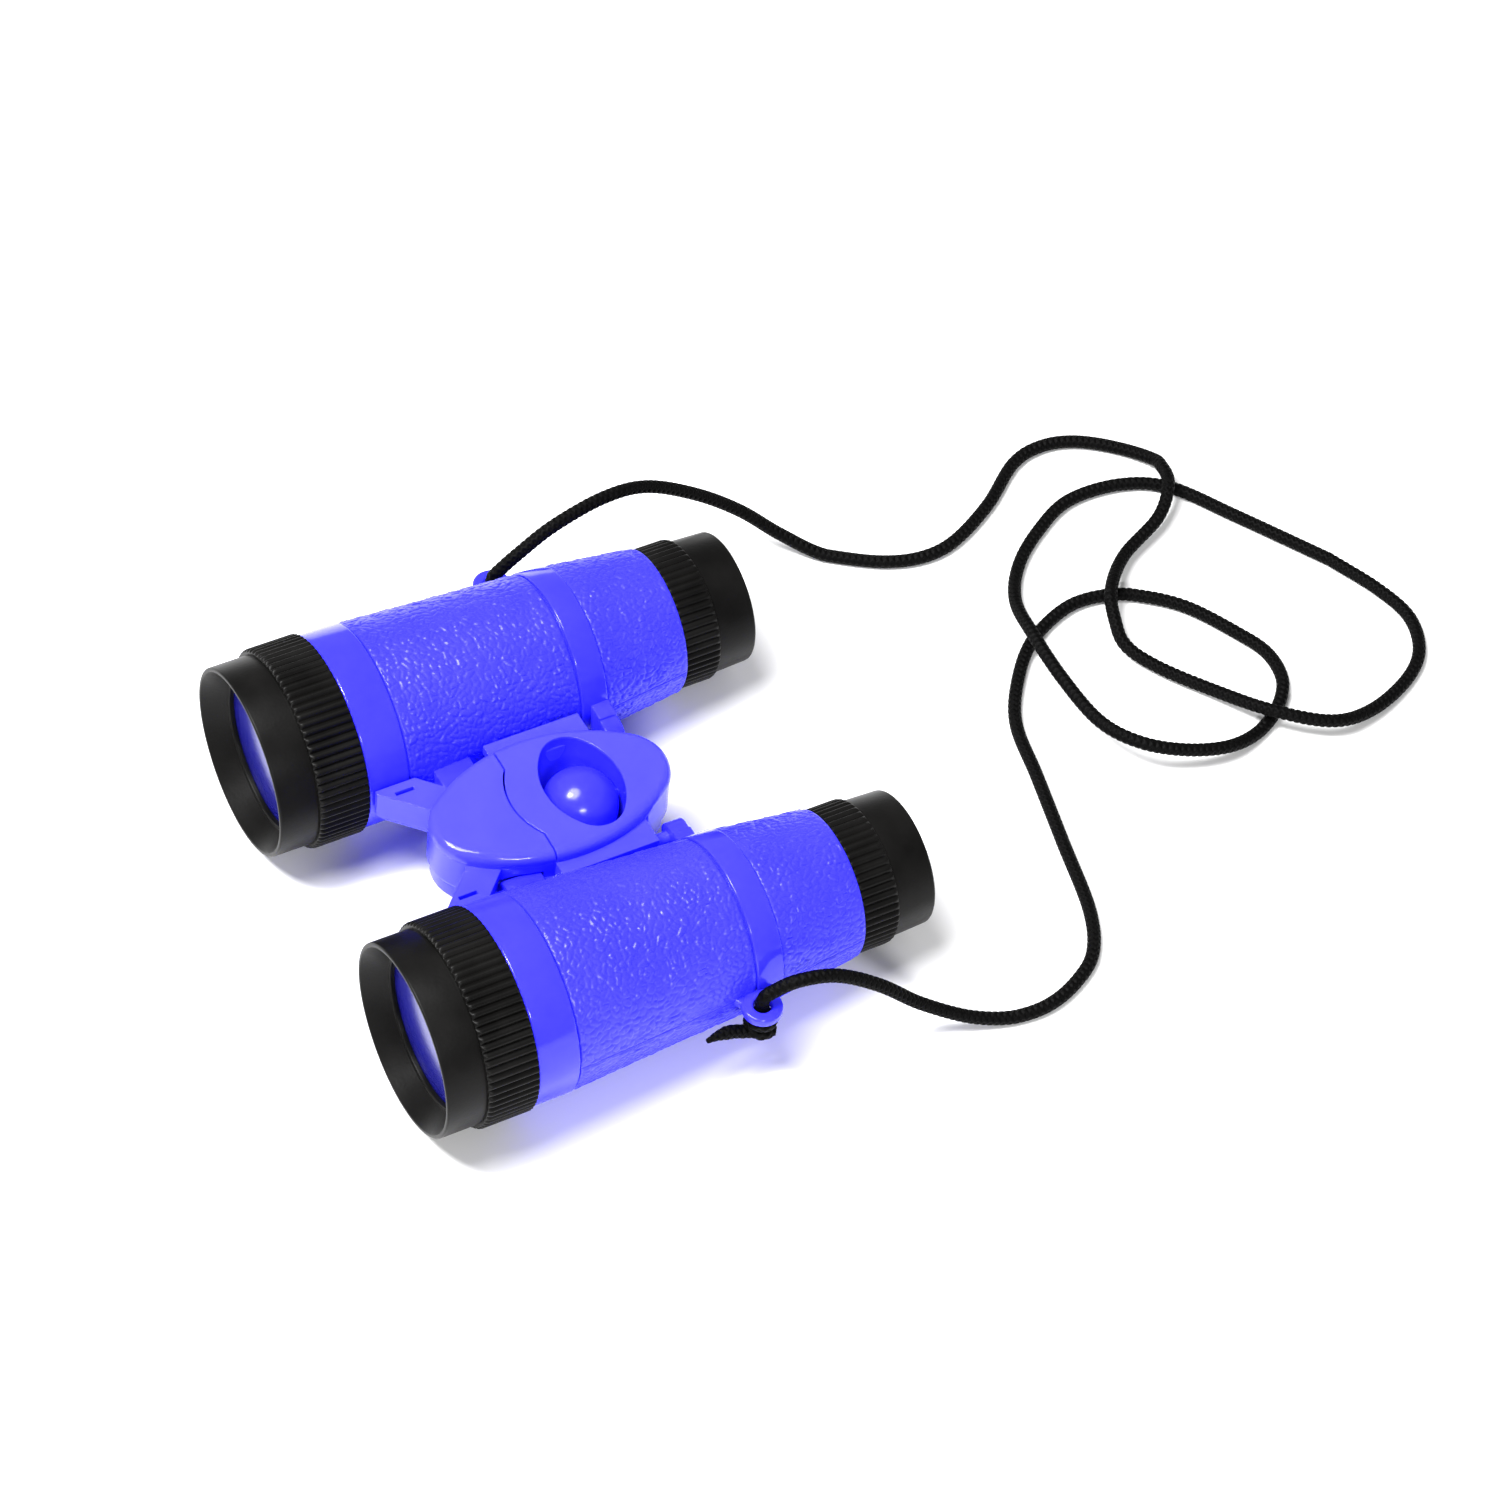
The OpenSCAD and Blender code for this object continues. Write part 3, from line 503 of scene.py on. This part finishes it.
# Neck cord: middle places on the floor plan and the lift of its underside, in metres, from left to right
ROUTE = [
    (0.0625, 0.015, 0.0225), (0.064, 0.020, 0.025), (0.0655, 0.028, 0.0235), (0.0675, 0.037, 0.017),
    (0.070, 0.046, 0.008), (0.074, 0.056, 0.002), (0.077, 0.065, 0), (0.0775, 0.073, 0), (0.075, 0.081, 0),
    (0.070, 0.088, 0), (0.060, 0.093, 0), (0.042, 0.097, 0), (0.024, 0.101, 0), (0.010, 0.104, 0),
    (0, 0.110, 0), (-0.009, 0.119, 0), (-0.014, 0.131, 0), (-0.013, 0.141, 0), (-0.009, 0.148, 0),
    (-0.002, 0.155, 0), (0.009, 0.161, 0), (0.017, 0.164, 0), (0.025, 0.163, 0), (0.031, 0.158, 0),
    (0.035, 0.151, 0), (0.037, 0.142, 0.002), (0.035, 0.132, 0.004), (0.030, 0.123, 0.006),
    (0.021, 0.118, 0.006), (0.007, 0.117, 0.0055), (-0.008, 0.118, 0.0045), (-0.020, 0.121, 0.001),
    (-0.029, 0.127, 0), (-0.036, 0.136, 0), (-0.041, 0.147, 0), (-0.040, 0.160, 0), (-0.034, 0.170, 0),
    (-0.020, 0.179, 0), (0, 0.191, 0), (0.012, 0.196, 0), (0.022, 0.198, 0), (0.031, 0.195, 0),
    (0.037, 0.188, 0), (0.0415, 0.176, 0.001), (0.0415, 0.165, 0.003), (0.0335, 0.154, 0.004),
    (0.021, 0.147, 0.001), (0.010, 0.140, 0.0005), (0.002, 0.1365, 0.001), (-0.004, 0.137, 0.003),
    (-0.011, 0.140, 0.0045), (-0.020, 0.149, 0.002), (-0.026, 0.1615, 0.0025), (-0.032, 0.1675, 0.0045),
    (-0.038, 0.1695, 0.0035), (-0.043, 0.170, 0.001), (-0.050, 0.165, 0), (-0.056, 0.157, 0),
    (-0.058, 0.149, 0), (-0.056, 0.141, 0), (-0.048, 0.130, 0), (-0.042, 0.118, 0), (-0.041, 0.109, 0),
    (-0.044, 0.100, 0), (-0.051, 0.090, 0), (-0.058, 0.082, 0.004), (-0.063, 0.074, 0.011),
    (-0.0655, 0.064, 0.019), (-0.066, 0.052, 0.027), (-0.065, 0.041, 0.030), (-0.063, 0.028, 0.0295),
    (-0.062, 0.019, 0.026), (-0.062, 0.014, 0.0225)]
LEAD = 3.0
SPLIT = 40
CURVE_STEPS = 24

# Braid of the cord, in metres, and its thin end at a knot's tail; a steep line rises by more than STEEP
BRAID_SIDES = 32
BRAID_STRANDS = 4
BRAID_PITCH = 0.0028
BRAID_STEP = 0.0002
BRAID_DEEP = 0.32
TAIL_TIP = 0.35
TAIL_POINTS = 24
STEEP = 0.9

# Stopper knot: its turn about the cord and the points before and after it, from the eyelet's middle
KNOT_R = 2.1
KNOT_TOP = 2.6
KNOT_FALL = 1.4
KNOT_FROM = 0.4
KNOT_TO = 8.6
KNOT_POINTS = 20
KNOT_HEAD = [(0, 0, 0), (0, -0.6, -1.2)]
KNOT_TAIL = [(0.2, -3.4, -5.9), (-0.3, -6.4, -5.0), (-0.2, -9.4, -4.4), (0.2, -12.4, -4.2)]


def curve(points, step):
    """Evenly spaced points on a smooth curve through the given ones, and its length."""
    p = np.array([points[0], *points, points[-1]], float)
    p[0] = 2 * p[1] - p[2]
    p[-1] = 2 * p[-2] - p[-3]
    fine = []
    for i in range(1, len(p) - 2):
        a, b, c, d = p[i - 1:i + 3]
        for t in np.linspace(0, 1, CURVE_STEPS, endpoint=False):
            fine.append(0.5 * (2 * b + (c - a) * t + (2 * a - 5 * b + 4 * c - d) * t * t
                               + (3 * b - a - 3 * c + d) * t ** 3))
    fine.append(p[-2])
    fine = np.array(fine)
    run = np.concatenate(([0], np.cumsum(np.linalg.norm(np.diff(fine, axis=0), axis=1))))
    even = np.linspace(0, run[-1], max(2, int(run[-1] / step)) + 1)
    return np.stack([np.interp(even, run, fine[:, k]) for k in range(3)], axis=1), run[-1]


def braid(line, radius, tail=0):
    """Braided tube along a line, lumpy by two crossing sets of strands; the last tail points run thin."""
    forward = np.gradient(line, axis=0)
    forward /= np.linalg.norm(forward, axis=1)[:, None]
    side = np.cross(forward[0], (0.0, 0.0, 1.0) if abs(forward[0][2]) < STEEP else (1.0, 0.0, 0.0))
    angles = circle(BRAID_SIDES)
    cos = np.cos(angles)[:, None]
    sin = np.sin(angles)[:, None]
    rows = []
    for i, (place, along) in enumerate(zip(line, forward)):
        side = side - along * (side @ along)
        side /= np.linalg.norm(side)
        other = np.cross(along, side)
        s = i * BRAID_STEP / BRAID_PITCH * 2 * math.pi
        one = np.cos(BRAID_STRANDS * angles + s * BRAID_STRANDS / 2)
        two = np.cos(BRAID_STRANDS * angles - s * BRAID_STRANDS / 2)
        lump = np.sqrt(np.clip(0.5 + 0.5 * np.maximum(one, two), 0, 1))
        r = radius * (1 - BRAID_DEEP * (1 - lump))
        if tail:
            r = r * min(1.0, TAIL_TIP + (1 - TAIL_TIP) * (len(line) - 1 - i) / tail)
        rows.append(place + r[:, None] * (cos * side + sin * other))
    points, faces = grid(rows)
    faces.append(tuple(range(BRAID_SIDES - 1, -1, -1)))
    last = len(points) - BRAID_SIDES
    faces.append(tuple(range(last, last + BRAID_SIDES)))
    return points, faces


def knot_line(s):
    """Middle line of a stopper knot under an eyelet: down, over a full turn, and a tail to the front."""
    turns = [(KNOT_R * math.sin(a), -KNOT_R * math.cos(a), -KNOT_TOP - KNOT_FALL * a / math.pi)
             for a in np.linspace(KNOT_FROM, KNOT_TO, KNOT_POINTS)]
    path = [*KNOT_HEAD, *turns, *KNOT_TAIL]
    return [lie(s * (EYELET_X + x), EYELET_Y + y, z) for x, y, z in path]


for name, s in SIDES.items():
    line = curve(knot_line(s), BRAID_STEP)[0]
    knot = raw(f"knot_{name}", *braid(line, CORD_R * MM, TAIL_POINTS))
    put(f"stopper_knot_{name}", knot, cloth, f"{name}_barrel", [f"cord_knot_{name}"])

through = [lie(EYELET_X, EYELET_Y, 0), lie(EYELET_X, EYELET_Y, LEAD)]
through += [Vector((x, y, z + CORD_R * MM)) for x, y, z in ROUTE]
through += [lie(-EYELET_X, EYELET_Y, LEAD), lie(-EYELET_X, EYELET_Y, 0)]
halves = {"left": through[:SPLIT + 1], "right": through[SPLIT:][::-1]}
for name, s in SIDES.items():
    line, length = curve(halves[name], BRAID_STEP)
    line[:, 2] = np.maximum(line[:, 2], CORD_R * MM)
    half = raw(f"cord_{name}", *braid(line, CORD_R * MM))
    piece = put(f"neck_cord_braid_{name}", half, cloth, None, [f"neck_cord_{name}"])
    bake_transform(piece)

# Barrels: smooth shell that sinks and slopes in under two grained sleeves, knuckle, lug and eyelet
SHELL_SIDES = 192
EDGE_ROUND = 0.4
SINK = 0.75
SLOPE = 0.5
TAIL_SLOPE = 1.5
GROOVE = 0.35
FAINT_GROOVE = 0.15
REAR_PHASE = 17.3
HINGE_STEPS = 14
EYELET_SIDES = 72
EYELET_ROUND = 0.55
EYELET_STEPS = 5
BRIDGE_HALF = 0.9
BRIDGE = [(57.0, 63.5), (58.6, 65.4), (60.4, 66.3), (60.4, 73.7), (58.6, 74.6), (57.0, 76.5)]

# Radii of the shell under the sleeves, from front to rear, and of the bore behind the spigot
UNDER_COLLAR_R = 20.4
UNDER_BAND_R = 18.4
TAIL_FRONT_R = 18.1
TAIL_REAR_R = 15.8
TAIL_END_R = 15.6
BORE_FRONT_R = 19.0
BORE_BAND_R = 16.7
BORE_TAIL_R = 16.45

# Section of the shell as (station, radius, rounding): outside to the rear, then inside to the front
shell = rounded([
    (SPIGOT_START, SPIGOT_BORE_R, 0), (SPIGOT_START, SPIGOT_R, 0.3), (CAP_END, SPIGOT_R, 0),
    (CAP_END, COLLAR_R, 0.45), (COLLAR_END, COLLAR_R, EDGE_ROUND), (COLLAR_END, COLLAR_R - SINK, 0),
    (COLLAR_END + SLOPE, UNDER_COLLAR_R, 0), (GRAIN_END - SLOPE, UNDER_BAND_R, 0),
    (GRAIN_END, BAND_FRONT_R - SINK, 0), (GRAIN_END, BAND_FRONT_R, EDGE_ROUND),
    (BAND_END, BAND_REAR_R, EDGE_ROUND), (BAND_END, BAND_REAR_R - SINK, 0),
    (BAND_END + SLOPE, TAIL_FRONT_R, 0), (BARREL_END - TAIL_SLOPE, TAIL_REAR_R, 0),
    (BARREL_END, TAIL_END_R, 0), (BARREL_END, SOCKET_R, 0.2), (PLUG_START, SOCKET_R, 0),
    (BAND_END, BORE_TAIL_R, 0), (GRAIN_END, BORE_BAND_R, 0), (COLLAR_END, BORE_FRONT_R, 0),
    (BORE_END, SPIGOT_BORE_R, 0)])

# Outlines, from the front, of the half circle about the hinge and of what joins it to the barrel
hinge_turns = [math.pi * k / HINGE_STEPS for k in range(HINGE_STEPS + 1)]
hinge_side = [(HINGE_X - KNUCKLE_R * math.sin(a), KNUCKLE_R * math.cos(a)) for a in hinge_turns]
knuckle = hinge_side + [(KNUCKLE_ROOT_X, -KNUCKLE_R), (KNUCKLE_ROOT_X, KNUCKLE_R)]
lug = hinge_side + [(LUG_ROOT_X, -KNUCKLE_R), (LUG_ROOT_X, LUG_TOP), (HINGE_X + LUG_FACE, LUG_TOP),
                    (HINGE_X + LUG_FACE, KNUCKLE_R)]


def eyelet():
    """Eyelet ring about an upright line, with round edges."""
    corners = [(-EYELET_HALF, EYELET_HOLE_R), (-EYELET_HALF, EYELET_R), (EYELET_HALF, EYELET_R),
               (EYELET_HALF, EYELET_HOLE_R)]
    profile = rounded([(z, r, EYELET_ROUND) for z, r in corners], EYELET_STEPS)
    turned, faces = lathe(profile, circle(EYELET_SIDES), (0.0, 0.0))
    return [(EYELET_X + x, EYELET_Y + across, z) for x, z, across in turned], faces


def bridge():
    """Plate between a barrel and its eyelet."""
    bm = drawn_out([(x, y, -BRIDGE_HALF) for x, y in BRIDGE], 2, BRIDGE_HALF)
    return bevelled(bm, list(bm.edges))


sleeve_front = grained(COLLAR_END + GROOVE, COLLAR_R - GRAIN_SINK,
                       GRAIN_END - GROOVE, BAND_FRONT_R - GRAIN_SINK, 0)
sleeve_rear = grained(BAND_END + FAINT_GROOVE, BAND_REAR_R - GRAIN_SINK, BARREL_END, TAIL_R, REAR_PHASE)
for name, s in SIDES.items():
    body = f"{name}_barrel"
    parts = [lathe(shell, circle(SHELL_SIDES)), beam(knuckle, KNUCKLE_START, KNUCKLE_END),
             beam(lug, LUG_START, BAND_END), eyelet(), bridge()]
    put(f"barrel_shell_{name}", build(f"shell_{name}", parts, s < 0), smooth_blue, body,
        [f"barrel_{name}"])
    sleeves = build(f"grain_{name}", [sleeve_front, sleeve_rear], s < 0, GRAIN_SHARP)
    put(f"barrel_grain_{name}", sleeves, grain_blue, body)

# Objective caps: plain hood with a cone inside, and ribs with round front ends
HOOD_SIDES = 256
HOOD_END = 9.2
UNDER_RIBS_R = 20.3
CAP_RIBS = 76
CAP_GROOVE_R = 21.45
CAP_EDGE_R = 21.3
CAP_INSIDE_R = 20.1
CAP_INSIDE_START = 8.75
CAP_RIB_ROUND = (1.0, 0.35)
CAP_STATIONS = [8.7, 8.75, 8.85, 9.0, 9.2, 9.45, 9.7, 10.5, 12.0, 14.0, 16.0, 18.0, 19.4, 19.7, 19.9, 19.98]

hood = rounded([
    (CAP_END, CAP_SOCKET_R, 0), (SPIGOT_START, CAP_SOCKET_R, 0), (SPIGOT_START, LENS_SEAT_R, 0),
    (LENS_START, LENS_SEAT_R, 0), (LENS_START, LIP_R, 0.15), (HOOD_DEEP, LIP_R, 0.3),
    (HOOD_DEEP, THROAT_R, 0.15), (0.0, MOUTH_R, 0.28), (0.0, HOOD_R, 0.4), (HOOD_END, HOOD_R, 0),
    (HOOD_END, UNDER_RIBS_R, 0), (CAP_END, UNDER_RIBS_R, 0)])
cap_ribs, cap_angles = ribs(CAP_RIBS, RING_R, CAP_GROOVE_R, CAP_STATIONS, CAP_RIB_ROUND)
cap_inside = ring_row(CAP_INSIDE_START, CAP_INSIDE_R, cap_angles)
cap_ribs = [cap_inside, ring_row(CAP_STATIONS[0], CAP_EDGE_R, cap_angles), *cap_ribs,
            ring_row(CAP_END, CAP_EDGE_R, cap_angles), ring_row(CAP_END, CAP_INSIDE_R, cap_angles),
            cap_inside]

# Eyepieces: ribs that end at the plain eyecup
CUP_SIDES = 224
CUP_START = 105.6
CUP_ROUND = 0.7
TUBE_START = 97.7
TUBE_R = 14.3
EYE_RIBS = 56
EYE_GROOVE_R = 15.4
EYE_EDGE_R = 15.3
EYE_INSIDE_R = 13.9
EYE_REAR_R = 14.0
EYE_RIB_ROUND = (0.25, 1.1)
EYE_STATIONS = [97.62, 97.7, 97.9, 98.3, 99.5, 101.0, 102.5, 104.0, 104.6, 105.0, 105.3, 105.6, 105.8,
                105.92, 106.0]

cup = rounded([
    (CUP_START, CUP_FRONT_R, 0), (TOTAL, CUP_R, CUP_ROUND), (TOTAL, CUP_BORE_R, CUP_ROUND),
    (CUP_FLOOR, CUP_BORE_R, 0.3), (CUP_FLOOR, EYE_STOP_R, 0.3), (EYE_LENS_END, EYE_STOP_R, 0.1),
    (EYE_LENS_END, EYE_SEAT_R, 0), (PLUG_START, EYE_SEAT_R, 0.2), (PLUG_START, PLUG_R, 0.4),
    (TUBE_START, PLUG_R, 0), (TUBE_START, TUBE_R, 0), (CUP_START, TUBE_R, 0)])
eye_ribs, eye_angles = ribs(EYE_RIBS, EYE_RING_R, EYE_GROOVE_R, EYE_STATIONS, EYE_RIB_ROUND)
eye_inside = ring_row(BARREL_END, EYE_INSIDE_R, eye_angles)
eye_ribs = [eye_inside, ring_row(BARREL_END, EYE_EDGE_R, eye_angles), *eye_ribs,
            ring_row(RIB_END, EYE_REAR_R, eye_angles), eye_inside]

# Lenses: radii of their domed faces
LENS_SIDES = 128
EYE_LENS_SIDES = 96
DOME_STEPS = 14
LENS_FACE_R = 16.35
EYE_FRONT_R = 8.35
EYE_BACK_R = 8.55


def dome(y_edge, y_top, r):
    """Profile of a shallow lens face, from its edge to its middle."""
    tall = abs(y_top - y_edge)
    ball = (r * r + tall * tall) / (2 * tall)
    sign = math.copysign(1, y_top - y_edge)
    out = []
    for k in range(DOME_STEPS + 1):
        at = r * (1 - k / DOME_STEPS)
        rise = math.sqrt(ball * ball - at * at) - (ball - tall)
        out.append((y_edge + sign * rise, max(at, AXIS_R)))
    return out


front_lens = dome(LENS_START, LENS_TOP, LENS_FACE_R)[::-1]
front_lens += [(LENS_START, LENS_R), (LENS_END, LENS_R), (LENS_END, AXIS_R)]
eye_lens = dome(EYE_LENS_START, EYE_LENS_TOP, EYE_FRONT_R)[::-1]
eye_lens += [(EYE_LENS_START, EYE_LENS_R), (EYE_LENS_END, EYE_LENS_R)]
eye_lens += dome(EYE_LENS_END, EYE_LENS_BACK, EYE_BACK_R)
for name, s in SIDES.items():
    body = f"{name}_barrel"
    mirrored = s < 0
    cap_mesh = build(f"cap_{name}", [lathe(hood, circle(HOOD_SIDES)), grid(cap_ribs)], mirrored)
    put(f"ribbed_cap_{name}", cap_mesh, black, body, [f"objective_cap_{name}"])
    eye_mesh = build(f"eye_{name}", [lathe(cup, circle(CUP_SIDES)), grid(eye_ribs)], mirrored)
    put(f"ribbed_eyepiece_{name}", eye_mesh, black, body, [f"eyepiece_{name}"])
    front_mesh = build(f"lens_{name}", [lathe(front_lens, circle(LENS_SIDES))], mirrored)
    put(f"front_lens_{name}", front_mesh, lens, body, [f"objective_lens_{name}"])
    rear_mesh = build(f"eye_lens_{name}", [lathe(eye_lens, circle(EYE_LENS_SIDES))], mirrored)
    put(f"rear_lens_{name}", rear_mesh, lens, body, [f"eye_lens_{name}"])

# Focus ball on its trunnions
BALL_SIDES = 96
BALL_ROWS = 48

neck = math.asin(TRUNNION_R / BALL_R)
trunnion_front = BALL_Y - TRUNNION_REACH
trunnion_rear = BALL_Y + TRUNNION_REACH
meridian = [(trunnion_front, AXIS_R), (trunnion_front, TRUNNION_R)]
for a in np.linspace(neck, math.pi - neck, BALL_ROWS):
    meridian.append((BALL_Y - BALL_R * math.cos(a), BALL_R * math.sin(a)))
meridian += [(trunnion_rear, TRUNNION_R), (trunnion_rear, AXIS_R)]
ball_mesh = build("ball", [lathe(meridian, circle(BALL_SIDES), (0.0, BALL_Z))])
put("ball_smooth", ball_mesh, ball_blue, "focus_ball", ["focus_ball"])

# Finger well: the bowl round the ball, in the rear cover's opening and under it, by (half width, height)
WELL_ROWS = [(12.45, 7.8), (12.45, 4.5), (12.1, 2.0), (11.2, -0.5), (9.9, -2.8), (8.9, -4.2)]
WELL_HALF_Y = 8.45
WELL_END_R = 5.95
WELL_WALL = 0.2
WELL_LIP = 0.04
OVAL_STEPS = 24


def oval(half_x, half_y, end_r):
    """Outline of an oval of four arcs, long along X."""
    side = (half_y ** 2 + (half_x - end_r) ** 2 - end_r ** 2) / (2 * (half_y - end_r))
    swing = math.atan2(half_x - end_r, side - half_y)
    out = []
    for k in range(OVAL_STEPS):
        a = -swing + 2 * swing * k / OVAL_STEPS
        out.append((side * math.sin(a), side * math.cos(a) - (side - half_y)))
    for k in range(OVAL_STEPS):
        a = math.pi / 2 - swing - (math.pi - 2 * swing) * k / OVAL_STEPS
        out.append((half_x - end_r + end_r * math.cos(a), end_r * math.sin(a)))
    return out + [(-x, -y) for x, y in out]


def well_row(half_x, z, grow):
    """Oval row of the well at a height, made larger all round by grow."""
    return [(x, BALL_Y + y, z) for x, y in oval(half_x + grow, WELL_HALF_Y + grow, WELL_END_R + grow)]


well_inside = [well_row(half_x, z, 0.0) for half_x, z in WELL_ROWS]
well_outside = [well_row(half_x, z, WELL_WALL) for half_x, z in WELL_ROWS[:0:-1]]
well = grid(well_inside + well_outside + [well_row(*WELL_ROWS[0], WELL_LIP), well_inside[0]])
put("finger_well", build("well", [well]), smooth_blue, "hub")

# CAD nodes that stay, in their own materials
STAYING = (
    (hub_blue_painted_reflection, ("hub_body", "hub_tub", "cover_front", "cover_rear", "hinge_pin_left", "hinge_pin_right")),
    (metal, ("screw_front", "screw_rear")),
    (black, ("lens_keeper_left", "lens_keeper_right", "eye_keeper_left", "eye_keeper_right")))
for material, nodes in STAYING:
    for node in nodes:
        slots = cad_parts[node].data.materials
        slots.clear()
        slots.append(material)

# Floor and light
FLOOR_HALF = 3.0
FLOOR_COLOUR = (0.9, 0.9, 0.9, 1)
FLOOR_ROUGHNESS = 0.9
WORLD_COLOUR = (1, 1, 1, 1)
WORLD_STRENGTH = 0.42
LIT_PLACE = (0.0, 0.05, 0.0)

floor_mesh = bpy.data.meshes.new("floor")
floor_corners = [(x * FLOOR_HALF, y * FLOOR_HALF, 0) for x, y in ((-1, -1), (1, -1), (1, 1), (-1, 1))]
floor_mesh.from_pydata(floor_corners, [], [(0, 1, 2, 3)])
floor = bpy.data.objects.new("floor", floor_mesh)
scene.collection.objects.link(floor)
paper, paper_shader = tree("white_floor")[:2]
paper_shader.inputs["Base Color"].default_value = FLOOR_COLOUR
paper_shader.inputs["Roughness"].default_value = FLOOR_ROUGHNESS
floor_mesh.materials.append(paper)

world = bpy.data.worlds.new("studio")
world.use_nodes = True
backdrop = world.node_tree.nodes["Background"]
backdrop.inputs["Color"].default_value = WORLD_COLOUR
backdrop.inputs["Strength"].default_value = WORLD_STRENGTH
scene.world = world


def softbox(name, place, size, watts):
    """Oval area light of a width and height that faces the object."""
    lamp = bpy.data.lights.new(name, "AREA")
    lamp.shape = "ELLIPSE"
    lamp.size, lamp.size_y = size
    lamp.energy = watts
    light = bpy.data.objects.new(name, lamp)
    light.location = place
    light.rotation_mode = "QUATERNION"
    light.rotation_quaternion = (Vector(LIT_PLACE) - Vector(place)).to_track_quat("-Z", "Y")
    scene.collection.objects.link(light)


softbox("overhead", place=(-0.1, -0.3, 1.06), size=(0.6, 0.6), watts=19.0)
softbox("key", place=(-0.15, -0.5, 0.95), size=(0.2, 0.2), watts=10.0)
softbox("fill", place=(0.76, -0.22, 0.58), size=(0.28, 0.08), watts=4.5)
